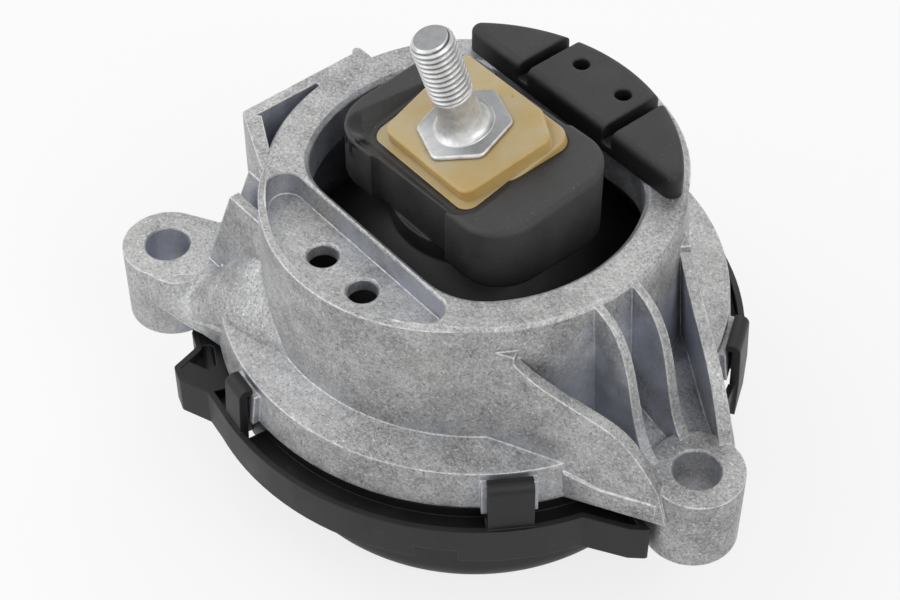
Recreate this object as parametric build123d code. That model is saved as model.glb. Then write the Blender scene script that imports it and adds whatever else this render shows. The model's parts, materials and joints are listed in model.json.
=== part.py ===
from build123d import *
import math
import os

# Engine mount: a die-cast three-eared housing with a fluid-damped rubber spring inside.
# Millimetres. Z is the housing axis, Z = 0 is the flat foot of the cup, +X points at the
# single ear. The casting is the same on both sides of the XZ plane, but for its rear wall.

# Heights above the foot
rim_z = 102.7
shoulder_z = 64.5
flange_top_z = 63.0
flange_low_z = 50.8
ear_top_z = 61.0
ear_height = 24.6
ear_seat_z = ear_top_z - ear_height

# Skirt, flange and barrel of the casting
rim_r = 57.8
skirt_foot_r = 61.0
flange_top_r = 72.6
flange_low_r = 73.9
barrel_r = 69.5
barrel_wall = 4.5
barrel_bore_r = barrel_r - barrel_wall
deck_thickness = 4.2
chamber_top_r = 53.6
chamber_low_r = 56.4
seat_z = 56.0
seat_bore_r = 58.6
rim_edge = 0.9

# Opening in the rim
opening_r = 46.6
opening_half_y = 35.3
opening_blend = 20.0
opening_lip = 1.3
lip_angle = 45.0

# Buffer pockets either side of the opening
pocket_depth = 8.0
pocket_arc_r = 49.4
pocket_arc_y = 9.4
pocket_edge_y = 37.3
pocket_wall = 2.2
pocket_end_r = 5.0
pocket_lip = 0.5
pocket_floor_z = rim_z - pocket_depth
peg_hole_r = 4.2
peg_hole_x = 8.5
peg_hole_y = 46.2
peg_hole_rim = 0.6

# Ears
bolt_bore_r = 6.5
bolt_bore_chamfer = 0.5
boss_r = 13.1
front_ear_x = 90.4
rear_ear_r = 90.2
rear_ear_angle = 139.5

# Webs and ribs of the front ear: crests as (run, height), offsets from the housing axis
floor_root_z = 62.6
floor_tip_z = 57.4
web_angle = 29.2
web_rim_offset = 52.2
web_foot_offset = 57.4
web_rim_thickness = 2.8
web_foot_thickness = 4.6
web_root = 46.4
web_start = 20.0
web_step_run = 30.2
web_step_z = 94.8
web_crest = ((30.2, 92.4), (40.3, 85.8), (51.1, 81.2), (60.1, 76.4), (67.7, 67.9), (72.1, 61.0))
web_toe_run = 75.0
rib_thickness = 2.3
rib_draft = 0.7
rib_top_z = 102.2
rib_offsets = (-7.6, 5.2)
rib_crests = (((64.0, 99.0), (71.0, 86.8), (82.0, 61.0)), ((66.0, 97.0), (73.0, 81.0), (80.5, 61.0)))

# Webs and ribs of the rear ears
outer_rib_y = 50.2
outer_rib_thickness = 2.6
outer_rib_top_z = 94.0
outer_rib_run = 43.2
inner_rib_y = 43.2
inner_rib_thickness = 2.6
inner_rib_top_z = 99.2
inner_rib_run = 43.6
rear_rib_slope = 0.39
slope_start = (13.9, 62.1, 63.0)
slope_end = (54.0, 69.0, 51.0)
slope_ridge = ((13.9, 59.6, 64.5), (29.0, 52.5, 78.0), (40.5, 52.5, 68.0), (49.8, 54.8, 61.0),
               (59.0, 67.5, 61.0))
rear_back_x = 66.0
rear_back_y = 42.0

# Flat rear wall on one side of the axis
rear_wall_x = 62.0
rear_wall_reach = 33.0
rear_wall_thickness = 3.4
rear_wall_top_z = 101.7
rear_wall_merge = 9.5
rear_pip_r = 1.5
rear_return_x = 39.5
rear_return_y = 43.0

# Tilted head: stud, hexagon flange and stop collar
head_tilt = 16.2
head_azimuth = 246.0
head_spin = -4.0
head_x = -2.1
head_y = -2.1
head_z = 119.7
stud_r = 6.0
stud_root_r = 7.3
stud_length = 31.3
stud_chamfer = 1.1
stud_grip = 21.0
stud_clearance = 0.1
hex_across = 23.8
hex_thickness = 2.6
hex_turn = 42.6
pad_front_y = -15.2
pad_rear_y = 17.3
pad_front_x = (-18.3, 19.0)
pad_rear_x = (-23.4, 22.0)
pad_cut = (10.0, 5.0)
pad_height = 4.0
pad_corner = 3.5
plate_x = (-23.4, 22.0)
plate_y = (-18.3, 18.5)
plate_height = 4.4
plate_corner = 5.0
collar_edge = 0.8

# Rubber spring and its stop block
block_half_x = 35.5
block_front_y = -23.8
block_rear_y = 20.9
block_low_z = 97.0
block_top_z = 116.6
block_slope_x = 0.061
block_slope_y = 0.099
block_corner = 13.0
block_edge = 1.6
block_recess = 1.8
block_recess_half = 15.5
block_recess_blend = 1.6
dish_ledge = 0.9
dish_angle = 45.0
neck_r = 23.5
neck_z = 91.0
cone_shoulder_r = 51.0
cone_shoulder_z = 66.0
cone_dome_r = 17.0
cone_dome_z = 68.0
cone_mouth_r = 53.0
rubber_lip = 1.2

# Core
core_half_x = 20.5
core_half_y = 13.5
core_corner = 8.0
core_low_z = 100.0
core_tip_r = 13.0
core_tip_z = 74.0
core_boss_r = 9.0
core_boss_gap = 0.2

# Ring bonded to the rubber
insert_gap = 0.4
insert_outer_r = barrel_bore_r - insert_gap
insert_wall = 3.0
insert_height = 4.5

# Channel plates, membrane, diaphragm
plate_gap = 0.6
plate_outer_r = barrel_bore_r - plate_gap
upper_plate_thickness = 3.9
lower_plate_thickness = 4.4
clamp_thickness = 1.7
channel_mid_r = 50.0
channel_width = 9.0
channel_depth = 3.0
window_slots = 8
window_slot_r = 2.6
window_slot_circle = 13.0
membrane_r = 26.0
membrane_thickness = 2.2
membrane_gap = 0.4
channel_port_r = 3.4
channel_port_angle = 12.0
diaphragm_thickness = 1.8
diaphragm_depth = 24.0
diaphragm_crown_r = 22.0

# Cup
cup_r = 62.6
cup_foot_round = 8.0
cup_wall = 2.4
cup_flange_inset = 0.3
cup_flange_r = barrel_r - cup_flange_inset
cup_flange_thickness = 3.3

# Retaining ring: a shallow channel round the barrel, narrower on the buffer side
ring_low_z = 35.6
ring_deck_z = 44.2
ring_top_z = 47.9
ring_wall = 1.8
ring_clearance = 0.6
ring_inner_r = barrel_r + ring_clearance
ring_channel = 10.2
buffer_side_channel = 8.2
ring_outer_r = ring_inner_r + ring_channel
ring_grip = 6.0
ring_ribs = 30
ring_rib_thickness = 1.6
ring_ear_clearance = 2.4
notch_angle = -47.6
notch_width = 11.5
notch_height = 4.2
ring_arm = ((70.2, -37.0), (75.2, -26.9), (86.8, -19.7), (91.0, -15.2), (80.0, -8.0), (60.0, -30.0))
ring_arm_round = 1.6
ring_wing = ((-48.5, -66.4), (-40.4, -69.8), (-38.3, -79.0), (-33.0, -80.9), (-24.0, -77.4),
             (-9.0, -79.7), (-9.0, -68.0), (-34.0, -61.0))
ring_wing_round = 1.3
wing_hole = ((-39.8, -64.4), (-39.2, -75.2), (-28.4, -71.0))
wing_hole_round = 1.9

# Clips of the ring as (angle, width), and the flange's tabs that they hook over
clips = ((-33.3, 12.4), (33.3, 12.4), (-97.6, 8.0), (97.6, 8.0), (180.0, 12.4))
tab_reach = 1.9
tab_margin = 1.4
tab_drop = 2.2
clip_thickness = 2.2
clip_gap = 0.3
clip_base_inset = 1.1
clip_crown = 1.3
clip_bend = 2.6

# Stop buffer
buffer_height = 8.0
buffer_inset = 1.8
buffer_r = rim_r - buffer_inset
buffer_inner_y = 32.8
buffer_corner = 3.0
buffer_edge = 2.2
buffer_gap = 0.2
groove_width = 3.8
groove_depth = 5.4
groove_x = (-18.2, 16.4)
peg_core_r = 2.5
peg_tip_r = 3.5
peg_head_r = 5.2
peg_head_height = 6.0
peg_gap = 0.15


os.makedirs("parts", exist_ok=True)


def polar(r, angle):
    return (r * math.cos(math.radians(angle)), r * math.sin(math.radians(angle)))


def turned(*points):
    return revolve(Plane.XZ * make_face(Polyline(*points, close=True)), Axis.Z)


def flat(*points):
    return make_face(Polyline(*points, close=True))


def slab(face, low_z, high_z):
    return Pos(0, 0, low_z) * extrude(face, high_z - low_z)


def both_sides(solid):
    return solid + mirror(solid, Plane.XZ)


def upright(angle, shift=0.0):
    # Local X runs along the plan angle, local Y is up, shift moves it to the right
    right = polar(1.0, angle - 90)
    return Plane(origin=(right[0] * shift, right[1] * shift, 0),
                 x_dir=(*polar(1.0, angle), 0), z_dir=(*right, 0))


def fin(angle, profile, low, high, reach):
    # A drafted plate: low and high are (inner, outer, z) across it, profile is its side
    (in_low, out_low, z_low), (in_high, out_high, z_high) = low, high
    section = flat((in_low, z_low), (out_low, z_low), (out_high, z_high), (in_high, z_high))
    bar = extrude(upright(angle - 90) * section, -reach)
    side = extrude(upright(angle, min(in_low, in_high)) * profile,
                   max(out_low, out_high) - min(in_low, in_high))
    return bar & side


def tangent_point(point, centre, radius, side):
    dx, dy = centre[0] - point[0], centre[1] - point[1]
    gap = math.hypot(dx, dy)
    turn = math.atan2(dy, dx) + side * math.asin(radius / gap)
    run = math.sqrt(gap * gap - radius * radius)
    return (point[0] + run * math.cos(turn), point[1] + run * math.sin(turn))


def rounded(x_span, y_span, corner):
    corners = [(x, y) for x in x_span for y in y_span]
    return fillet(flat(corners[0], corners[1], corners[3], corners[2]).vertices(), corner)


def half_plane(y, side):
    return Pos(0, y) * Rectangle(4 * ring_outer_r, 2 * ring_outer_r, align=(Align.CENTER, side))


# Stack clamped under the casting's seat, from the insert ring down to the cup flange
insert_top_z = seat_z
insert_low_z = insert_top_z - insert_height
upper_plate_z = insert_low_z - upper_plate_thickness
lower_plate_z = upper_plate_z - lower_plate_thickness
barrel_low_z = lower_plate_z - clamp_thickness
cup_flange_low_z = barrel_low_z - cup_flange_thickness
cup_flange_z = barrel_low_z

# Casting
rear_ear = polar(rear_ear_r, -rear_ear_angle)
front_boss = (front_ear_x, 0)
ears = [front_boss, rear_ear, (rear_ear[0], -rear_ear[1])]
ear_mid_z = (ear_top_z + ear_seat_z) / 2
bosses = [Pos(x, y, ear_mid_z) * Cylinder(boss_r, ear_height) for x, y in ears]

flange = turned((0, shoulder_z), (skirt_foot_r, shoulder_z), (flange_top_r, flange_top_z),
                (flange_low_r, flange_low_z), (barrel_r, flange_low_z), (barrel_r, barrel_low_z),
                (0, barrel_low_z))
skirt = turned((0, rim_z), (rim_r - rim_edge, rim_z), (rim_r, rim_z - rim_edge),
               (skirt_foot_r, shoulder_z), (skirt_foot_r, flange_low_z), (0, flange_low_z))
bulge = slab(Pos(0, -pocket_arc_y) * Circle(pocket_arc_r + pocket_wall), flange_low_z,
             rim_z - rim_edge)

# Front ear: a floor that falls towards the boss, two ribs, and two webs that lean outwards
across = polar(1.0, web_angle - 90)
along = polar(1.0, web_angle)


def beside(offset_in, run):
    return tuple(across[i] * offset_in + along[i] * run for i in (0, 1))


arm_root = beside(web_foot_offset, web_root)
arm_tip = tangent_point(arm_root, front_boss, boss_r, -1.0)
inner_offset = web_foot_offset - web_foot_thickness / 2
arm = flat((0, 0), arm_root, arm_tip, front_boss)
between = flat((0, 0), beside(inner_offset, web_start), beside(inner_offset, web_toe_run), front_boss)
floor_side = flat((0, flange_low_z), (0, floor_root_z), (skirt_foot_r, floor_root_z),
                  (front_ear_x - boss_r, floor_tip_z), (front_ear_x, floor_tip_z),
                  (front_ear_x, flange_low_z))
falling = extrude(Plane.XZ * floor_side, rim_r, both=True)
body = flange - (both_sides(slab(between, flange_low_z, rim_z)) - falling)
body += both_sides(slab(arm, flange_low_z, rim_z)) & falling
body += skirt + both_sides(bulge)

web_line = Spline(*web_crest)
web_side = make_face(web_line + Polyline(web_crest[-1], (web_toe_run, flange_low_z), (0, flange_low_z),
                                         (0, web_step_z), (web_step_run, web_step_z), web_crest[0]))
web = fin(web_angle, web_side,
          (web_foot_offset - web_foot_thickness, web_foot_offset, flange_low_z),
          (web_rim_offset - web_rim_thickness, web_rim_offset, rim_z), web_toe_run)
body += both_sides(web)

rib_start = rim_r - rim_edge
for rib_y, rib_crest in zip(rib_offsets, rib_crests):
    rib_end = rib_crest[-1]
    rib_side = make_face(Spline((rib_start, rib_top_z), *rib_crest)
                         + Polyline(rib_end, (rib_end[0], flange_low_z), (rib_start, flange_low_z),
                                    (rib_start, rib_top_z)))
    half = rib_thickness / 2
    body += fin(0, rib_side, (-rib_y - half - rib_draft, -rib_y + half + rib_draft, flange_low_z),
                (-rib_y - half, -rib_y + half, rim_z), rib_end[0])

# Rear ears: a sloped web outside, two ribs inside it
foot_run = slope_end[0] - slope_start[0]


def slope_foot(x):
    share = (x - slope_start[0]) / foot_run
    y, z = (slope_start[i] + (slope_end[i] - slope_start[i]) * share for i in (1, 2))
    return (y, max(z, flange_low_z + rim_edge / 2))


def slope_section(x, ridge_y, ridge_z):
    side = Plane(origin=(-x, 0, 0), x_dir=(0, -1, 0), z_dir=(-1, 0, 0))
    foot_y, foot_z = slope_foot(x)
    return side * flat((foot_y, flange_low_z), (foot_y, foot_z), (ridge_y, ridge_z),
                       (inner_rib_y, ridge_z), (inner_rib_y, flange_low_z))


toe = tangent_point((-slope_start[0], -slope_start[1]), rear_ear, boss_r, 1.0)
heel = tangent_point((-rear_back_x, -rear_back_y), rear_ear, boss_r, -1.0)
floor = flat((0, 0), (-slope_ridge[2][0], -slope_ridge[2][1]), (-slope_ridge[3][0], -slope_ridge[3][1]),
             toe, rear_ear, heel, (-rear_back_x, -rear_back_y), (-rear_wall_x, -rear_wall_reach),
             (-rear_wall_x, 0))
body += both_sides(slab(floor, flange_low_z, ear_top_z))
slope = loft([slope_section(*ridge) for ridge in slope_ridge], ruled=True)
body += both_sides(slope)


def rear_rib(y, thickness, run, top_z):
    drop = (top_z - flange_low_z) * rear_rib_slope
    side = flat((0, flange_low_z), (0, top_z), (run, top_z), (run + drop, flange_low_z))
    half = thickness / 2
    return fin(180, side, (-y - half - rib_draft * 2, -y + half + rib_draft, flange_low_z),
               (-y - half, -y + half, rim_z), run + drop)


body += both_sides(rear_rib(outer_rib_y, outer_rib_thickness, outer_rib_run, outer_rib_top_z))
body += both_sides(rear_rib(inner_rib_y, inner_rib_thickness, inner_rib_run, inner_rib_top_z))

# Flat rear wall, its pip, and its return to the rim
wall = flat((-rear_wall_x, -rear_wall_reach), (-rear_wall_x, rear_wall_merge),
            (-opening_r, rear_wall_merge), (-opening_r, -rear_wall_merge),
            (-rear_wall_x + rear_wall_thickness, -rear_wall_merge),
            (-rear_wall_x + rear_wall_thickness, -rear_wall_reach))
pip = Pos(-rear_wall_x, rear_wall_merge - rear_pip_r) * Circle(rear_pip_r)
corner = (-rear_wall_x, -rear_wall_reach)
meet = (-rear_return_x, -rear_return_y)
span = math.hypot(meet[0] - corner[0], meet[1] - corner[1])
inward = ((corner[1] - meet[1]) / span * rear_wall_thickness,
          (meet[0] - corner[0]) / span * rear_wall_thickness)
ret = flat(corner, meet, (meet[0] + inward[0], meet[1] + inward[1]),
           (corner[0] + inward[0] + rear_wall_thickness, corner[1] + inward[1]))
body += [slab(shape, flange_low_z, rear_wall_top_z) for shape in (wall, pip, ret)]

# Tabs under the clips
for angle, width in clips:
    tab = extrude(Plane.XZ * flat(
        (barrel_r, flange_low_z), (flange_low_r + tab_reach, flange_low_z),
        (flange_top_r + tab_reach, flange_top_z - tab_drop), (barrel_r, flange_top_z - tab_drop)),
        width / 2 + tab_margin, both=True)
    body += Rot(0, 0, angle) * tab

# Bosses, chamber, opening, pockets and bores
body += bosses
deck_low_z = pocket_floor_z - deck_thickness
chamber = turned((0, barrel_low_z), (barrel_bore_r, barrel_low_z), (barrel_bore_r, seat_z),
                 (seat_bore_r, seat_z), (chamber_low_r, shoulder_z), (chamber_top_r, deck_low_z),
                 (0, deck_low_z))
mouth = Circle(opening_r) & Rectangle(2 * opening_r, 2 * opening_half_y)
mouth = fillet(mouth.vertices(), opening_blend)
body -= chamber
body -= slab(mouth, deck_low_z - deck_thickness, rim_z)
body -= Pos(0, 0, rim_z - opening_lip) * extrude(mouth, opening_lip, taper=-lip_angle)

disc = Pos(0, -pocket_arc_y) * Circle(pocket_arc_r)
beyond = Pos(0, -pocket_edge_y) * Rectangle(3 * pocket_arc_r, pocket_arc_r,
                                             align=(Align.CENTER, Align.MAX))
pocket = fillet((disc & beyond).vertices(), pocket_end_r)
body -= both_sides(slab(pocket, pocket_floor_z, rim_z))
body -= both_sides(Pos(0, 0, rim_z - pocket_lip) * extrude(pocket, pocket_lip, taper=-lip_angle))
holes = [(x, y) for x in (-peg_hole_x, peg_hole_x) for y in (-peg_hole_y, peg_hole_y)]
body -= [Pos(x, y, pocket_floor_z - deck_thickness / 2) * Cylinder(peg_hole_r, 2 * deck_thickness)
         for x, y in holes]
countersink = Cone(peg_hole_r, peg_hole_r + peg_hole_rim, peg_hole_rim)
body -= [Pos(x, y, pocket_floor_z - peg_hole_rim / 2) * countersink for x, y in holes]
for x, y in ears:
    bore = Pos(x, y, ear_mid_z) * Cylinder(bolt_bore_r, ear_height)
    wide_r = bolt_bore_r + bolt_bore_chamfer
    bore += Pos(x, y, ear_top_z - bolt_bore_chamfer / 2) * Cone(bolt_bore_r, wide_r, bolt_bore_chamfer)
    bore += Pos(x, y, ear_seat_z + bolt_bore_chamfer / 2) * Cone(wide_r, bolt_bore_r, bolt_bore_chamfer)
    body -= bore
housing = body


# Head frame: origin on the stud axis at the top of the collar's pad, Z along the stud
axis = Vector(*polar(math.sin(math.radians(head_tilt)), head_azimuth), math.cos(math.radians(head_tilt)))
level = Vector(axis.Z, 0, -axis.X).normalized()
turn = math.radians(head_spin)
head = Plane(origin=(head_x, head_y, head_z), z_dir=axis,
             x_dir=level * math.cos(turn) + axis.cross(level) * math.sin(turn))

# Stop collar: two steps moulded in one, with a hole for the core's boss
pad = flat((pad_front_x[0], pad_front_y), (pad_front_x[1], pad_front_y),
           (pad_rear_x[1], pad_rear_y - pad_cut[1]), (pad_rear_x[1] - pad_cut[0], pad_rear_y),
           (pad_rear_x[0], pad_rear_y))
pad = extrude(fillet(pad.vertices(), pad_corner), pad_height)
plate_outline = rounded(plate_x, plate_y, plate_corner)
plate = extrude(plate_outline, plate_height)
collar_height = pad_height + plate_height
collar = Pos(0, 0, -pad_height) * fillet(pad.edges().group_by(Axis.Z)[-1], collar_edge)
collar += Pos(0, 0, -collar_height) * fillet(plate.edges().group_by(Axis.Z)[-1], collar_edge)
collar -= Pos(0, 0, -collar_height / 2) * Cylinder(core_boss_r + core_boss_gap, collar_height)
stop_collar = head * collar

# Stud with its hexagon flange seated on the collar and its root screwed into the core
flange = Rot(0, 0, hex_turn) * RegularPolygon(hex_across / math.sqrt(3), 6)
stud = extrude(flange, hex_thickness)
shank = stud_length + hex_thickness
stud += Pos(0, 0, shank / 2) * Cylinder(stud_r, shank)
stud += Pos(0, 0, hex_thickness + stud_chamfer / 2) * Cone(stud_root_r, stud_r, stud_chamfer)
stud = chamfer(stud.edges().sort_by(Axis.Z)[-1], stud_chamfer)
stud += Pos(0, 0, -stud_grip / 2) * Cylinder(stud_r, stud_grip)
stud = head * stud

# Core: a rounded block under the collar that narrows to a tip in the spring
base = Pos(0, 0, core_tip_z) * Circle(core_tip_r)
waist = Pos(0, 0, core_low_z) * rounded((-core_half_x, core_half_x), (-core_half_y, core_half_y),
                                        core_corner)
core = loft([base, waist])
upper = extrude(waist, head_z - core_low_z)
under = head * (Pos(0, 0, -collar_height) * Box(
    rim_r * 2, rim_r * 2, rim_r, align=(Align.CENTER, Align.CENTER, Align.MAX)))
core += upper & under
core += head * (Pos(0, 0, -collar_height / 2) * Cylinder(core_boss_r, collar_height))
stud_hole = head * (Pos(0, 0, -stud_grip / 2) * Cylinder(stud_r + stud_clearance, stud_grip))
inner_core = core - stud_hole

# Rubber spring: stop block, neck and cone in one, bonded to core and insert ring
outline = rounded((-block_half_x, block_half_x), (block_front_y, block_rear_y), block_corner)
block = slab(outline, block_low_z, head_z + pad_height)
slope_len = math.hypot(1, block_slope_x, block_slope_y)
top = Plane(origin=(0, 0, block_top_z), x_dir=(1, 0, block_slope_x),
            z_dir=(-block_slope_x / slope_len, -block_slope_y / slope_len, 1 / slope_len))
block &= top * Box(rim_r * 2, rim_r * 2, rim_r, align=(Align.CENTER, Align.CENTER, Align.MAX))
block = fillet(block.faces().sort_by(Axis.Z)[-1].edges(), block_edge)
dent = fillet(Rectangle(2 * block_recess_half, 2 * block_recess).vertices(), block_recess_blend)
for y in (block_front_y, block_rear_y):
    block -= slab(Pos(0, y) * dent, block_low_z, head_z + pad_height)
dish = extrude(offset(plate_outline, dish_ledge), 2 * collar_height, taper=-dish_angle)
block -= head * (Pos(0, 0, -pad_height) * dish)
insert_inner_r = insert_outer_r - insert_wall
cone = turned((0, block_low_z), (neck_r, block_low_z), (neck_r, neck_z),
              (cone_shoulder_r, cone_shoulder_z), (seat_bore_r - rubber_lip, insert_top_z),
              (insert_inner_r, insert_top_z),
              (insert_inner_r, insert_low_z), (cone_mouth_r, insert_low_z),
              (cone_dome_r, cone_dome_z), (0, cone_dome_z))
spring = block + cone
spring -= core
spring -= stop_collar
hidden = extrude(offset(plate_outline, -plate_corner), -collar_height)
rubber_spring = spring - head * hidden

insert_ring = turned((insert_inner_r, insert_low_z), (insert_outer_r, insert_low_z),
                     (insert_outer_r, insert_top_z), (insert_inner_r, insert_top_z))

# Channel plates with the membrane between them
upper_top_z = insert_low_z
grid = [polar(window_slot_circle, 360 / window_slots * i) for i in range(window_slots)]
upper_plate = slab(Circle(plate_outer_r), upper_plate_z, upper_top_z)
lower_plate = slab(Circle(plate_outer_r), lower_plate_z, upper_plate_z)
track = Circle(channel_mid_r + channel_width / 2) - Circle(channel_mid_r - channel_width / 2)
gate = Pos(channel_mid_r, 0) * Rectangle(2 * channel_width, channel_width / 2)
lower_plate -= slab(track - gate, upper_plate_z - channel_depth, upper_plate_z)
well = slab(Circle(membrane_r + membrane_gap), upper_plate_z - membrane_thickness / 2 - membrane_gap,
            upper_plate_z + membrane_thickness / 2 + membrane_gap)
lower_plate -= well
upper_plate -= well
for x, y in grid:
    slot = Pos(x, y, upper_plate_z) * Cylinder(window_slot_r, 4 * upper_plate_thickness)
    upper_plate -= slot
    lower_plate -= slot
port = Circle(channel_port_r)
upper_plate -= slab(Pos(*polar(channel_mid_r, channel_port_angle)) * port, upper_plate_z, upper_top_z)
lower_plate -= slab(Pos(*polar(channel_mid_r, -channel_port_angle)) * port, lower_plate_z, upper_plate_z)
membrane = slab(Circle(membrane_r), upper_plate_z - membrane_thickness / 2,
                upper_plate_z + membrane_thickness / 2)

# Rolling diaphragm clamped between the lower plate and the cup flange
fold_r = cup_r - 3 * cup_wall
dia_low = lower_plate_z - diaphragm_depth
t = diaphragm_thickness
diaphragm = turned((0, dia_low), (diaphragm_crown_r, dia_low), (fold_r, barrel_low_z - 2 * t),
                   (fold_r, barrel_low_z), (plate_outer_r, barrel_low_z), (plate_outer_r, lower_plate_z),
                   (fold_r - t, lower_plate_z), (fold_r - t, barrel_low_z - 2 * t),
                   (diaphragm_crown_r - t, dia_low + t), (0, dia_low + t))

cup_in = cup_r - cup_wall
shell = turned((0, 0), (cup_r, 0), (cup_r, cup_flange_low_z), (cup_flange_r, cup_flange_low_z),
               (cup_flange_r, cup_flange_z), (0, cup_flange_z))
shell = fillet(shell.edges().sort_by(Axis.Z)[0], cup_foot_round)
inside = turned((0, cup_wall), (cup_in, cup_wall), (cup_in, cup_flange_z), (0, cup_flange_z))
inside = fillet(inside.edges().sort_by(Axis.Z)[0], cup_foot_round - cup_wall)
cup = shell - inside

# Retaining ring: a channel open above and below, ribbed under its deck, with a wing and an arm
relief_r = boss_r + ring_ear_clearance
plan = Circle(ring_outer_r) & half_plane(0, Align.MAX)
plan += Circle(ring_inner_r + buffer_side_channel) & half_plane(0, Align.MIN)
plan += fillet(flat(*ring_arm).vertices(), ring_arm_round)
plan += fillet(flat(*ring_wing).vertices(), ring_wing_round)
plan -= [Pos(x, y) * Circle(relief_r) for x, y in ears]
hollow = offset(plan, -ring_wall) - Circle(ring_inner_r + ring_wall)
window = fillet(flat(*wing_hole).vertices(), wing_hole_round)
window_wall = offset(window, ring_wall)

ring = slab(plan - Circle(ring_inner_r), ring_low_z, ring_top_z)
ring -= slab(hollow, ring_deck_z, ring_top_z)
ring -= slab(hollow - window_wall, ring_low_z, ring_deck_z - ring_wall)
ring -= slab(window, ring_low_z, ring_deck_z)
ring += slab(Circle(ring_inner_r + ring_wall) - Circle(ring_inner_r - ring_grip),
             ring_low_z, cup_flange_low_z)
rib = Pos(ring_inner_r, 0) * Rectangle(ring_channel, ring_rib_thickness, align=(Align.MIN, Align.CENTER))
rib_step = 360 / ring_ribs
for i in range(ring_ribs):
    spoke = Rot(0, 0, rib_step / 2 + rib_step * i) * rib
    ring += slab(spoke & plan, ring_low_z, ring_deck_z)

# Clips: each bends over the tab below it and stops just short of the flange
tab_top_z = flange_top_z - tab_drop
tip_r = flange_low_r + clip_gap
clip_inner_r = flange_low_r + tab_reach + clip_gap
crown_z = flange_top_z + clip_crown
clip_base_r = ring_outer_r - clip_base_inset
for angle, width in clips:
    clip_side = flat((clip_base_r - clip_thickness, ring_low_z), (clip_base_r, ring_low_z),
                     (clip_base_r, ring_top_z), (clip_inner_r + clip_thickness, crown_z),
                     (tip_r, crown_z - clip_crown), (tip_r, tab_top_z + clip_gap),
                     (clip_inner_r, tab_top_z + clip_gap))
    bend = clip_side.vertices().sort_by_distance((clip_inner_r + clip_thickness, crown_z, 0))[0]
    clip = extrude(Plane.XZ * fillet(bend, clip_bend), width / 2, both=True)
    room = extrude(Plane.XZ * flat((ring_inner_r + ring_wall, ring_deck_z - ring_wall),
                                   (clip_base_r - clip_thickness, ring_deck_z - ring_wall),
                                   (clip_base_r - clip_thickness, ring_top_z),
                                   (ring_inner_r + ring_wall, ring_top_z)), width / 2, both=True)
    ring -= Rot(0, 0, angle) * room
    ring += Rot(0, 0, angle) * clip
notch = Pos(ring_outer_r, 0, ring_low_z) * Box(4 * ring_wall, notch_width, 2 * notch_height)
ring -= Rot(0, 0, notch_angle) * notch
retaining_ring = ring

# Stop buffer: a crescent on the rim, rooted in the pocket by two hollow pegs
seat_disc = Pos(0, pocket_arc_y) * Circle(pocket_arc_r - buffer_gap)
seat_half = Pos(0, pocket_edge_y + buffer_gap) * Rectangle(3 * pocket_arc_r, pocket_arc_r,
                                                          align=(Align.CENTER, Align.MIN))
root = fillet((seat_disc & seat_half).vertices(), pocket_end_r)
cap = Circle(buffer_r) & Pos(0, buffer_inner_y) * Rectangle(
    2 * buffer_r, buffer_r, align=(Align.CENTER, Align.MIN))
cap = fillet(cap.vertices(), buffer_corner)
crescent = slab(cap, rim_z, rim_z + buffer_height)
crescent = fillet(crescent.edges().group_by(Axis.Z)[-1], buffer_edge)
for x in groove_x:
    crescent -= Pos(x, 0, rim_z + buffer_height - groove_depth) * Box(
        groove_width, 4 * buffer_r, buffer_height, align=(Align.CENTER, Align.CENTER, Align.MIN))
buffer = crescent + slab(root, pocket_floor_z, rim_z)
peg_low_z = deck_low_z - peg_gap
for x in (-peg_hole_x, peg_hole_x):
    buffer += Pos(x, peg_hole_y, (pocket_floor_z + peg_low_z) / 2) * Cylinder(
        peg_hole_r - peg_gap, pocket_floor_z - peg_low_z)
    buffer += Pos(x, peg_hole_y, peg_low_z - peg_head_height / 2) * Cone(
        peg_tip_r, peg_head_r, peg_head_height)
    buffer -= slab(Pos(x, peg_hole_y) * Circle(peg_core_r), peg_low_z - peg_head_height,
                   rim_z + buffer_height)
stop_buffer = buffer

parts = {
    "housing": housing, "stop_collar": stop_collar, "stud": stud, "inner_core": inner_core,
    "rubber_spring": rubber_spring, "insert_ring": insert_ring, "upper_channel_plate": upper_plate,
    "lower_channel_plate": lower_plate, "membrane": membrane, "diaphragm": diaphragm, "cup": cup,
    "retaining_ring": retaining_ring, "stop_buffer": stop_buffer,
}
for name, solid in parts.items():
    print(name, len(solid.solids()), round(solid.volume), solid.is_valid)
    export_step(solid, f"parts/{name}.step")
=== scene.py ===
import json
import math

import bmesh
import bpy
from mathutils import Matrix, Vector


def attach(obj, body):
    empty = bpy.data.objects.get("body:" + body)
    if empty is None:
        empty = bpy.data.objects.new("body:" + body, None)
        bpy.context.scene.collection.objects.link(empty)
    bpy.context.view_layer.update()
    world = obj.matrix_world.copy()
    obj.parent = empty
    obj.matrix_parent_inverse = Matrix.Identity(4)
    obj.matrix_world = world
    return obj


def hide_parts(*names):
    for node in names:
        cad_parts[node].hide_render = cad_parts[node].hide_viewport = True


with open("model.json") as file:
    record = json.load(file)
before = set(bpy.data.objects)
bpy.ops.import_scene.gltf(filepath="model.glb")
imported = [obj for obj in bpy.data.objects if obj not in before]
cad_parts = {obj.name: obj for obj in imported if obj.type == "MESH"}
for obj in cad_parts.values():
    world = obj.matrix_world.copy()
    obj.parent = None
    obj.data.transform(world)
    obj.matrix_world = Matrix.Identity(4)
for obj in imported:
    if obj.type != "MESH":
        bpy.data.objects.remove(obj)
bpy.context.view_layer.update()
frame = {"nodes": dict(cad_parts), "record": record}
nodes = frame["nodes"]
scene = bpy.context.scene

MM = 0.001


# Material helpers

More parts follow.
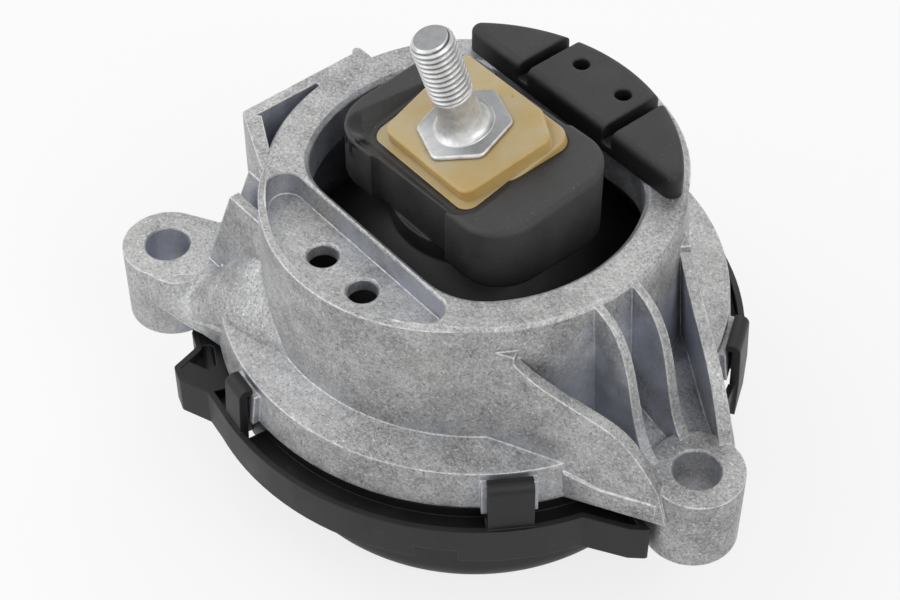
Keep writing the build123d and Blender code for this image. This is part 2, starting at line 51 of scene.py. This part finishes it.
class Graph:
    """A material's node tree with short calls for the nodes used here."""

    def __init__(self, name):
        self.material = bpy.data.materials.new(name)
        self.material.use_nodes = True
        self.tree = self.material.node_tree
        self.shader = self.tree.nodes["Principled BSDF"]
        self.coord = self.tree.nodes.new("ShaderNodeTexCoord").outputs["Object"]
        self.normal = self.tree.nodes.new("ShaderNodeNewGeometry").outputs["Normal"]

    def node(self, kind, **props):
        n = self.tree.nodes.new(kind)
        for key, value in props.items():
            setattr(n, key, value)
        return n

    def link(self, a, b):
        self.tree.links.new(a, b)

    def put(self, socket, value):
        if isinstance(value, bpy.types.NodeSocket):
            self.link(value, socket)
        else:
            socket.default_value = value

    def noise(self, scale, detail=3.0, rough=0.55):
        n = self.node("ShaderNodeTexNoise")
        n.inputs["Scale"].default_value = scale
        n.inputs["Detail"].default_value = detail
        n.inputs["Roughness"].default_value = rough
        self.link(self.coord, n.inputs["Vector"])
        return n.outputs["Fac"]

    def ramp(self, value, low, high, to_low=0.0, to_high=1.0):
        n = self.node("ShaderNodeMapRange", clamp=True)
        self.put(n.inputs["Value"], value)
        for key, v in (("From Min", low), ("From Max", high), ("To Min", to_low), ("To Max", to_high)):
            n.inputs[key].default_value = v
        return n.outputs["Result"]

    def math(self, op, a, b=0.0):
        n = self.node("ShaderNodeMath", operation=op)
        self.put(n.inputs[0], a)
        self.put(n.inputs[1], b)
        return n.outputs["Value"]

    def both(self, *factors):
        value = factors[0]
        for factor in factors[1:]:
            value = self.math("MULTIPLY", value, factor)
        return value

    def blend(self, *layers):
        """Sum of noise layers, each as (fac, share), spread round its middle."""
        total = 0.0
        for fac, share in layers:
            total = self.math("ADD", self.ramp(fac, 0.33, 0.67, 0.0, share), total)
        return total

    def mix(self, factor, a, b):
        n = self.node("ShaderNodeMix", data_type="RGBA")
        self.put(n.inputs["Factor"], factor)
        for key, v in (("A", a), ("B", b)):
            socket = next(s for s in n.inputs if s.name == key and s.type == "RGBA")
            self.put(socket, v if isinstance(v, bpy.types.NodeSocket) else (*v, 1.0))
        return next(s for s in n.outputs if s.type == "RGBA")

    def facing(self, axis):
        n = self.node("ShaderNodeSeparateXYZ")
        self.link(self.normal, n.inputs["Vector"])
        return n.outputs[axis]

    def rounding(self, radius):
        n = self.node("ShaderNodeBevel", samples=6)
        n.inputs["Radius"].default_value = radius
        return n.outputs["Normal"]

    def edges(self, radius, low, high):
        """Near 1 on edges of that radius, 0 on open faces."""
        dot = self.node("ShaderNodeVectorMath", operation="DOT_PRODUCT")
        self.link(self.rounding(radius), dot.inputs[0])
        self.link(self.normal, dot.inputs[1])
        return self.ramp(dot.outputs["Value"], high, low)

    def hollows(self, distance, low, high):
        """Near 1 deep in corners and grooves, 0 on open faces."""
        n = self.node("ShaderNodeAmbientOcclusion", samples=6)
        n.inputs["Distance"].default_value = distance
        return self.ramp(n.outputs["AO"], high, low)

    def near(self, place, radius, soft):
        """1 within a radius of a place, in metres, and 0 past the soft border."""
        n = self.node("ShaderNodeVectorMath", operation="DISTANCE")
        self.link(self.coord, n.inputs[0])
        n.inputs[1].default_value = place
        return self.ramp(n.outputs["Value"], radius + soft, radius)

    def bump(self, height, strength, distance, normal):
        n = self.node("ShaderNodeBump")
        n.inputs["Strength"].default_value = strength
        n.inputs["Distance"].default_value = distance
        self.link(height, n.inputs["Height"])
        self.link(normal, n.inputs["Normal"])
        return n.outputs["Normal"]

    def finish(self, **sockets):
        names = {"specular": "Specular IOR Level", "subsurface": "Subsurface Weight"}
        for key, value in sockets.items():
            socket = self.shader.inputs[names.get(key, key.replace("_", " ").title())]
            if isinstance(value, tuple) and len(value) == 3 and socket.type == "RGBA":
                value = (*value, 1.0)
            self.put(socket, value)
        return self.material


def dress(obj, material):
    obj.data.materials.clear()
    obj.data.materials.append(material)


# Materials

def cast_alloy():
    g = Graph("cast_alloy")
    level = g.ramp(g.facing("Z"), 0.4, 0.85)
    zones = g.noise(24, 3, 0.5)
    clouds = g.noise(140, 5, 0.75)
    grain = g.noise(1050, 3, 0.75)
    dust = g.noise(2800, 2, 0.7)
    tone = g.blend((zones, 0.20), (clouds, 0.28), (grain, 0.36), (dust, 0.16))
    colour = g.mix(g.ramp(tone, 0.18, 0.82), (0.17, 0.17, 0.17), (0.60, 0.60, 0.595))
    grubby = g.ramp(g.noise(55, 5, 0.8), 0.50, 0.64, 0.0, 0.32)
    colour = g.mix(grubby, colour, (0.20, 0.19, 0.18))
    # Smooth drafted skin, mostly on side faces in recesses, with fewer pits and glints; its bluish-lavender
    # colour is a painted reflection.
    recess = g.hollows(0.03, 0.35, 0.85)
    smooth = g.both(recess, g.ramp(level, 0.0, 1.0, 1.0, 0.45), g.ramp(g.noise(30, 3, 0.6), 0.36, 0.52))
    painted_sheen = g.mix(g.ramp(clouds, 0.3, 0.7), (0.42, 0.44, 0.51), (0.62, 0.64, 0.72))
    colour = g.mix(g.both(smooth, 0.85), colour, painted_sheen)
    pits = g.both(g.ramp(g.noise(1500, 2, 0.5), 0.60, 0.68), g.ramp(smooth, 0.0, 1.0, 0.55, 0.05))
    colour = g.mix(pits, colour, (0.09, 0.09, 0.09))
    glints = g.both(g.ramp(g.noise(1150, 2, 0.6), 0.62, 0.70), g.ramp(smooth, 0.0, 1.0, 0.5, 0.1))
    colour = g.mix(glints, colour, (0.85, 0.85, 0.85))
    # Painted shade: darker deep in tight corners and creases.
    colour = g.mix(g.both(g.hollows(0.0035, 0.25, 0.6), 0.5), colour, (0.09, 0.088, 0.085))
    # Edges painted near white in patches: partly real wear, partly a painted edge highlight.
    worn_and_highlit_edges = g.both(g.edges(0.0011, 0.70, 0.94), g.ramp(g.noise(420, 3, 0.7), 0.36, 0.58, 0.25, 1.0))
    colour = g.mix(worn_and_highlit_edges, colour, (0.92, 0.92, 0.93))
    rough = g.ramp(clouds, 0.3, 0.7, 0.42, 0.60)
    height = g.blend((clouds, 0.5), (grain, 0.35), (dust, 0.15))
    normal = g.bump(height, 0.5, 0.0003, g.rounding(0.0008))
    return g.finish(base_color=colour, metallic=0.72, roughness=rough, normal=normal)


def rubber(name, low, high, edge_radius, gloss=0.55):
    g = Graph(name)
    broad = g.noise(60, 4, 0.6)
    grain = g.noise(900, 3, 0.7)
    colour = g.mix(g.blend((broad, 0.7), (grain, 0.3)), low, high)
    # Painted edge highlight: edges painted paler in patches.
    dust = g.both(g.edges(0.0008, 0.8, 0.97), g.ramp(g.noise(260, 3), 0.35, 0.65, 0.1, 0.8))
    colour = g.mix(dust, colour, tuple(3.0 * c for c in high))
    specks = g.ramp(g.noise(1500, 1, 0.4), 0.74, 0.78)
    colour = g.mix(g.both(specks, 0.6), colour, (0.16, 0.16, 0.16))
    # Painted shade: near black deep in the bore and other hollows.
    colour = g.mix(g.both(g.hollows(0.035, 0.2, 0.75), 0.85), colour, (0.002, 0.002, 0.002))
    rough = g.ramp(broad, 0.3, 0.7, gloss - 0.08, gloss + 0.10)
    smear = g.both(g.near(SMEAR, 0.006, 0.003), g.ramp(g.noise(220, 3, 0.6), 0.42, 0.52))
    colour = g.mix(smear, colour, (0.004, 0.004, 0.004))
    rough = g.math("MULTIPLY", rough, g.ramp(smear, 0.0, 1.0, 1.0, 0.25))
    normal = g.bump(grain, 0.3, 0.00015, g.rounding(edge_radius))
    return g.finish(base_color=colour, roughness=rough, specular=0.45, normal=normal)


def black_plastic(name, base):
    g = Graph(name)
    broad = g.noise(80, 3, 0.6)
    scuff = g.ramp(g.noise(240, 4, 0.7), 0.62, 0.72)
    colour = g.mix(g.ramp(broad, 0.3, 0.7), base, tuple(c * 1.6 for c in base))
    colour = g.mix(g.both(scuff, 0.15), colour, (0.07, 0.07, 0.07))
    # Painted edge highlight: edges lighter than the faces.
    colour = g.mix(g.edges(0.0005, 0.8, 0.97), colour, (0.045, 0.045, 0.047))
    rough = g.ramp(broad, 0.3, 0.7, 0.42, 0.54)
    normal = g.bump(g.noise(2200, 2, 0.6), 0.2, 0.0001, g.rounding(0.0005))
    return g.finish(base_color=colour, roughness=rough, specular=0.35, normal=normal)


def straw_plastic():
    g = Graph("straw_plastic")
    broad = g.noise(55, 3, 0.6)
    # Painted light: lit and shaded copies of the straw colour, duller on up-facing faces and brighter orange
    # on the sides.
    level = g.ramp(g.facing("Z"), 0.5, 0.9)
    top = g.mix(g.ramp(broad, 0.40, 0.60), (0.50, 0.36, 0.145), (0.50, 0.415, 0.25))
    lit_sides = g.mix(g.ramp(broad, 0.35, 0.65), (0.58, 0.38, 0.12), (0.68, 0.49, 0.21))
    colour = g.mix(level, lit_sides, top)
    stain = g.both(g.ramp(g.noise(600, 3, 0.7), 0.66, 0.72), g.ramp(g.noise(90, 2), 0.55, 0.62))
    colour = g.mix(stain, colour, (0.07, 0.045, 0.025))
    # Painted shade: darker brown deep in tight corners and joints.
    colour = g.mix(g.both(g.hollows(0.003, 0.3, 0.7), 0.5), colour, (0.20, 0.11, 0.04))
    normal = g.bump(g.noise(500, 2), 0.15, 0.0001, g.rounding(0.0010))
    g.shader.inputs["Subsurface Radius"].default_value = (0.004, 0.0025, 0.001)
    g.shader.inputs["Subsurface Scale"].default_value = 0.6
    return g.finish(base_color=colour, roughness=0.40, subsurface=0.3, specular=0.45, normal=normal)


def zinc():
    g = Graph("zinc_steel")
    mottle = g.noise(420, 4, 0.7)
    turned = g.mix(g.ramp(mottle, 0.3, 0.7), (0.52, 0.52, 0.515), (0.74, 0.74, 0.735))
    # Painted shade: up-facing flats are a darker copy of the zinc colour.
    shaded_flats = g.mix(g.ramp(mottle, 0.3, 0.7), (0.235, 0.24, 0.245), (0.31, 0.315, 0.32))
    colour = g.mix(g.ramp(g.facing("Z"), 0.80, 0.93), turned, shaded_flats)
    groove = g.node("ShaderNodeAttribute", attribute_name="groove").outputs["Fac"]
    # Painted shade: thread roots darkened by their depth.
    colour = g.mix(g.ramp(groove, 0.45, 0.95), colour, (0.06, 0.06, 0.06))
    # Painted edge highlight: edges lighter than the faces.
    colour = g.mix(g.edges(0.0003, 0.75, 0.96), colour, (0.78, 0.78, 0.78))
    # Painted shade: darker deep in tight corners.
    colour = g.mix(g.both(g.hollows(0.002, 0.3, 0.7), 0.5), colour, (0.10, 0.10, 0.10))
    rough = g.ramp(mottle, 0.3, 0.7, 0.34, 0.48)
    normal = g.bump(g.noise(1500, 2), 0.2, 0.0001, g.rounding(0.00025))
    return g.finish(base_color=colour, metallic=0.75, roughness=rough, normal=normal)


# Middle of the glossy smear on the rubber block, in metres
SMEAR = (-0.0275, -0.0225, 0.1135)

ALLOY = cast_alloy()
SPRING = rubber("spring_rubber", (0.020, 0.020, 0.020), (0.042, 0.042, 0.043), 0.0012)
BUFFER = rubber("buffer_rubber", (0.009, 0.009, 0.0095), (0.020, 0.020, 0.021), 0.0016)
CUP = black_plastic("cup_plastic", (0.006, 0.006, 0.0065))
RING = black_plastic("clip_plastic", (0.0065, 0.0065, 0.007))
STRAW = straw_plastic()
ZINC = zinc()

looks = {
    "housing": ALLOY, "inner_core": ALLOY, "rubber_spring": SPRING, "stop_buffer": BUFFER,
    "stop_collar": STRAW, "stud": ZINC, "insert_ring": ZINC, "retaining_ring": RING, "cup": CUP,
    "upper_channel_plate": CUP, "lower_channel_plate": CUP, "membrane": SPRING, "diaphragm": SPRING,
}
for name, material in looks.items():
    dress(nodes[name], material)


# Stud with its rolled thread and hexagon flange, in millimetres from the collar's top

STUD_MOUNT_HEIGHT = 18.3
HEAD_SPIN = -4.0

stud_mount = next(m for m in frame["record"]["mounts"] if m["name"] == "stud")
axis = Vector(stud_mount["axis"]).normalized()
foot = Vector(stud_mount["pos_m"]) - axis * STUD_MOUNT_HEIGHT * MM
side = Matrix.Rotation(math.radians(HEAD_SPIN), 3, axis) @ Vector((axis.z, 0.0, -axis.x)).normalized()
ahead = axis.cross(side)
HEAD = Matrix.Translation(foot) @ Matrix((side, ahead, axis)).transposed().to_4x4()

STUD_TOP = 33.9
STUD_TOP_R = 4.5
LEAD_SLOPE = 0.95
THREAD_LOW = 13.2
PITCH = 1.75
THREAD_ROOT = 5.15
THREAD_CREST = 5.97
THREAD_STEPS = 12
THREAD_SLOPE = 2.9
THREAD_CREST_SHARE = 0.35
SHANK_R = 5.7
SHANK_FLARE = ((1.25, 8.6), (1.5, 8.5), (1.9, 7.7), (2.8, 7.0), (4.2, 6.4), (5.8, 6.0), (7.6, SHANK_R))
AROUND = 96
HEX_ACROSS = 23.8
HEX_TURN = 42.6
HEX_CORNER = 2.6
HEX_LEVELS = ((0.4, 0.0), (0.0, 0.3), (0.0, 0.8), (0.2, 1.1), (0.7, 1.3))


def run_in(z):
    """Grows from 0 to 1 over the first turn of the thread."""
    return min(1.0, max(0.0, (z - THREAD_LOW) / PITCH))


def thread_depth(angle, z):
    """0 on the crest and 1 in the root of the thread, which fades out at the shank."""
    phase = (z / PITCH - angle / math.tau) % 1.0
    return min(1.0, max(0.0, abs(phase - 0.5) * THREAD_SLOPE - THREAD_CREST_SHARE)) * run_in(z)


def thread_radius(angle, z):
    crest = SHANK_R + (THREAD_CREST - SHANK_R) * run_in(z)
    radius = crest - (THREAD_CREST - THREAD_ROOT) * thread_depth(angle, z)
    return min(radius, STUD_TOP_R + (STUD_TOP - z) * LEAD_SLOPE)


def bridge(bm, rings):
    """Skin between rings of vertices, closed at both ends."""
    for low, high in zip(rings, rings[1:]):
        for i, corner in enumerate(low):
            j = (i + 1) % len(low)
            bm.faces.new((corner, low[j], high[j], high[i]))
    bm.faces.new(rings[-1])
    bm.faces.new(rings[0][::-1])


def add_mesh(name, bm, material, sharp=35.0):
    mesh = bpy.data.meshes.new(name)
    bmesh.ops.recalc_face_normals(bm, faces=bm.faces)
    bm.to_mesh(mesh)
    bm.free()
    mesh.shade_smooth()
    mesh.set_sharp_from_angle(angle=math.radians(sharp))
    obj = bpy.data.objects.new(name, mesh)
    scene.collection.objects.link(obj)
    dress(obj, material)
    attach(obj, "root")
    return obj


def hexagon(bm, radius, z):
    """A ring of vertices round a hexagon with rounded corners."""
    centre_r = radius - HEX_CORNER / math.cos(math.radians(30))
    ring = []
    for k in range(6):
        corner = math.radians(HEX_TURN + 60 * k)
        for step in (-30, -15, 0, 15, 30):
            a = corner + math.radians(step)
            ring.append(bm.verts.new((centre_r * math.cos(corner) + HEX_CORNER * math.cos(a),
                                      centre_r * math.sin(corner) + HEX_CORNER * math.sin(a), z)))
    return ring


def stud_shape():
    bm = bmesh.new()
    groove = bm.verts.layers.float.new("groove")
    angles = [math.tau * i / AROUND for i in range(AROUND)]

    def ring(z, radius):
        return [bm.verts.new((radius * math.cos(a), radius * math.sin(a), z)) for a in angles]

    rings = [ring(z, radius) for z, radius in SHANK_FLARE]
    count = round((STUD_TOP - THREAD_LOW) / PITCH * THREAD_STEPS)
    for i in range(count):
        z = THREAD_LOW + (STUD_TOP - THREAD_LOW) * i / count
        turn = [bm.verts.new((thread_radius(a, z) * math.cos(a), thread_radius(a, z) * math.sin(a), z))
                for a in angles]
        for vertex, a in zip(turn, angles):
            vertex[groove] = thread_depth(a, z)
        rings.append(turn)
    rings.append(ring(STUD_TOP, STUD_TOP_R))
    bridge(bm, rings)
    circumradius = HEX_ACROSS / math.sqrt(3)
    bridge(bm, [hexagon(bm, circumradius - inset, z) for inset, z in HEX_LEVELS])
    bm.transform(HEAD @ Matrix.Scale(MM, 4))
    return bm


stud = add_mesh("stud_threaded", stud_shape(), ZINC)
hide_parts("stud")


# Cast faces of the rear ears: rails through (x, y, z) in millimetres, the left ear's, from the skirt outwards

EAR_LOW_Z = 50.85
EAR_RAILS = (
    ((-8.0, -60.0, EAR_LOW_Z), (-8.0, -60.6, 63.6), (-8.0, -60.4, 66.0)),
    ((-22.3, -63.0, EAR_LOW_Z), (-22.3, -63.8, 63.35), (-22.3, -56.1, 74.5)),
    ((-32.7, -63.5, EAR_LOW_Z), (-32.7, -64.6, 63.2), (-32.7, -50.2, 80.0)),
    ((-41.9, -67.1, EAR_LOW_Z), (-41.9, -64.8, 60.5), (-41.9, -43.2, 74.0)),
    ((-49.0, -68.8, EAR_LOW_Z), (-49.0, -65.5, 57.5), (-49.0, -54.2, 63.0)),
    ((-53.1, -69.4, EAR_LOW_Z), (-53.1, -68.0, 56.5), (-53.1, -65.0, 61.05)),
    ((-57.8, -70.2, EAR_LOW_Z), (-57.8, -69.8, 56.0), (-57.8, -68.7, 61.05)),
    ((-62.0, -70.5, EAR_LOW_Z), (-62.0, -70.4, 56.0), (-62.0, -70.0, 61.05)),
)
EAR_TUCK = (0.0, 6.0, -0.15)
EAR_FOOT_TUCK = (0.0, 6.0, 0.0)
RAIL_STEPS = 8
ACROSS_STEPS = 10


def along_rail(points, steps):
    """Points of a smooth line through the given ones."""
    line = []
    last = len(points) - 1
    for i in range(last):
        a, b, c, d = (points[min(max(k, 0), last)] for k in (i - 1, i, i + 1, i + 2))
        for step in range(steps):
            t = step / steps
            line.append(0.5 * ((2 * b) + (c - a) * t + (2 * a - 5 * b + 4 * c - d) * t ** 2
                               + (3 * b - a - 3 * c + d) * t ** 3))
    return line + [points[last]]


def through(low, mid, high, steps):
    """Points of the quadratic curve through three, spaced by the lengths of its two spans."""
    m = (mid - low).length / ((mid - low).length + (high - mid).length)
    curve = []
    for i in range(steps + 1):
        t = i / steps
        curve.append(low * ((t - m) * (t - 1) / m) + mid * (t * (t - 1) / (m * (m - 1)))
                     + high * (t * (t - m) / (1 - m)))
    return curve


def ear_face(side):
    bm = bmesh.new()
    rails = [along_rail([Vector(section[k]) for section in EAR_RAILS], RAIL_STEPS) for k in range(3)]
    rings = []
    for low, mid, high in zip(*rails):
        ring = [low + Vector(EAR_FOOT_TUCK), *through(low, mid, high, ACROSS_STEPS), high + Vector(EAR_TUCK)]
        rings.append([bm.verts.new((p.x * MM, side * p.y * MM, p.z * MM)) for p in ring])
    bridge(bm, rings)
    return bm


add_mesh("rear_ear_face_left", ear_face(1), ALLOY, 60.0)
add_mesh("rear_ear_face_right", ear_face(-1), ALLOY, 60.0)


# Deck of the retaining ring's wing, with its three-cornered hole, (x, y) in millimetres

WING_TOP_Z = 47.7
WING_DEPTH = 3.5
WING_OUTLINE = ((-47.5, -66.3), (-40.0, -69.4), (-37.9, -78.6), (-33.0, -80.4), (-24.2, -76.9),
                (-21.0, -67.8), (-31.9, -63.4), (-41.8, -57.4))
WING_ROUND = 0.8
WING_HOLE = ((-39.8, -64.4), (-39.2, -75.2), (-28.4, -71.0))
WING_HOLE_ROUND = 1.9
CORNER_STEPS = 5


def rounded(points, radius):
    """A closed outline with each corner turned on a radius."""
    line = []
    for i, point in enumerate(points):
        corner = Vector(point)
        before = (Vector(points[i - 1]) - corner).normalized()
        after = (Vector(points[(i + 1) % len(points)]) - corner).normalized()
        half = before.angle(after) / 2
        centre = corner + (before + after).normalized() * radius / math.sin(half)
        start = corner + before * radius / math.tan(half) - centre
        sweep = start.angle_signed(corner + after * radius / math.tan(half) - centre)
        for step in range(CORNER_STEPS + 1):
            line.append(centre + Matrix.Rotation(-sweep * step / CORNER_STEPS, 2) @ start)
    return line


def wing_deck():
    bm = bmesh.new()
    edges = []
    for line in (rounded(WING_OUTLINE, WING_ROUND), rounded(WING_HOLE, WING_HOLE_ROUND)):
        loop = [bm.verts.new((p.x, p.y, WING_TOP_Z)) for p in line]
        edges += [bm.edges.new(pair) for pair in zip(loop, loop[1:] + loop[:1])]
    bmesh.ops.triangle_fill(bm, use_beauty=True, edges=edges)
    sunk = bmesh.ops.extrude_face_region(bm, geom=bm.faces[:], use_keep_orig=True)["geom"]
    corners = [v for v in sunk if isinstance(v, bmesh.types.BMVert)]
    bmesh.ops.translate(bm, vec=(0, 0, -WING_DEPTH), verts=corners)
    bm.transform(Matrix.Scale(MM, 4))
    return bm


add_mesh("ring_wing_deck", wing_deck(), RING)


# Floor, light and camera

def area(name, place, size, power, colour=(1, 1, 1)):
    lamp = bpy.data.lights.new(name, "AREA")
    lamp.shape = "RECTANGLE"
    lamp.size, lamp.size_y = size
    lamp.energy = power
    lamp.color = colour
    obj = bpy.data.objects.new(name, lamp)
    scene.collection.objects.link(obj)
    obj.location = place
    obj.rotation_euler = (Vector(LAMP_AIM) - Vector(place)).to_track_quat("-Z", "Y").to_euler()


def eye_rays(tree):
    """1 for what the camera sees, straight or in a mirror or through glass."""
    path = tree.nodes.new("ShaderNodeLightPath")
    seen = path.outputs["Is Camera Ray"]
    for ray in ("Is Glossy Ray", "Is Transmission Ray"):
        larger = tree.nodes.new("ShaderNodeMath")
        larger.operation = "MAXIMUM"
        tree.links.new(seen, larger.inputs[0])
        tree.links.new(path.outputs[ray], larger.inputs[1])
        seen = larger.outputs["Value"]
    return seen


LAMP_AIM = (0.0, 0.0, 0.07)
FLOOR_HALF = 4.0
FLOOR_GAP = 0.0002
FLOOR_WHITE = 0.78
WORLD_LIGHT = 0.46

floor_mesh = bpy.data.meshes.new("floor")
floor_corners = [(x * FLOOR_HALF, y * FLOOR_HALF, 0) for x, y in ((-1, -1), (1, -1), (1, 1), (-1, 1))]
floor_mesh.from_pydata(floor_corners, [], [(0, 1, 2, 3)])
floor = bpy.data.objects.new("floor", floor_mesh)
scene.collection.objects.link(floor)
floor.location.z = -FLOOR_GAP
g = Graph("floor")
dress(floor, g.finish(base_color=(0.93, 0.93, 0.93), roughness=0.9, specular=0.1))
glow = g.node("ShaderNodeEmission")
blend = g.node("ShaderNodeMixShader")
g.link(g.math("MULTIPLY", eye_rays(g.tree), FLOOR_WHITE), blend.inputs["Fac"])
g.link(g.shader.outputs["BSDF"], blend.inputs[1])
g.link(glow.outputs["Emission"], blend.inputs[2])
g.link(blend.outputs["Shader"], g.tree.nodes["Material Output"].inputs["Surface"])

world = bpy.data.worlds.new("studio")
scene.world = world
world.use_nodes = True
tree = world.node_tree
background = tree.nodes["Background"]
background.inputs["Color"].default_value = (1, 1, 1, 1)
level = tree.nodes.new("ShaderNodeMapRange")
level.inputs["To Min"].default_value = WORLD_LIGHT
level.inputs["To Max"].default_value = 1.0
tree.links.new(eye_rays(tree), level.inputs["Value"])
tree.links.new(level.outputs["Result"], background.inputs["Strength"])

area("key", (-0.50, -0.35, 0.85), (0.8, 0.8), 2.7)
area("back", (-0.40, 0.65, 0.70), (0.6, 0.6), 1.2)
area("front", (0.75, -0.05, 0.75), (0.5, 0.5), 2.6)
area("left", (-0.35, -0.85, 0.35), (0.5, 0.6), 1.4, (0.93, 0.95, 1.0))

CAMERA_PLACE = Vector((0.320909, -0.278365, 0.501968))
CAMERA_RIGHT = Vector((0.64279, 0.76604, 0.0))
CAMERA_UP = Vector((-0.55660, 0.46704, 0.68708))
CAMERA_LENS = 85.75

camera_data = bpy.data.cameras.new("camera")
camera_data.lens = CAMERA_LENS
camera_data.sensor_width = 36.0
camera_data.clip_start, camera_data.clip_end = 0.01, 20.0
camera = bpy.data.objects.new("camera", camera_data)
scene.collection.objects.link(camera)
back = CAMERA_RIGHT.cross(CAMERA_UP)
camera.matrix_world = (Matrix.Translation(CAMERA_PLACE)
                       @ Matrix((CAMERA_RIGHT, CAMERA_UP, back)).transposed().to_4x4())
scene.camera = camera
scene.view_settings.view_transform = "Standard"
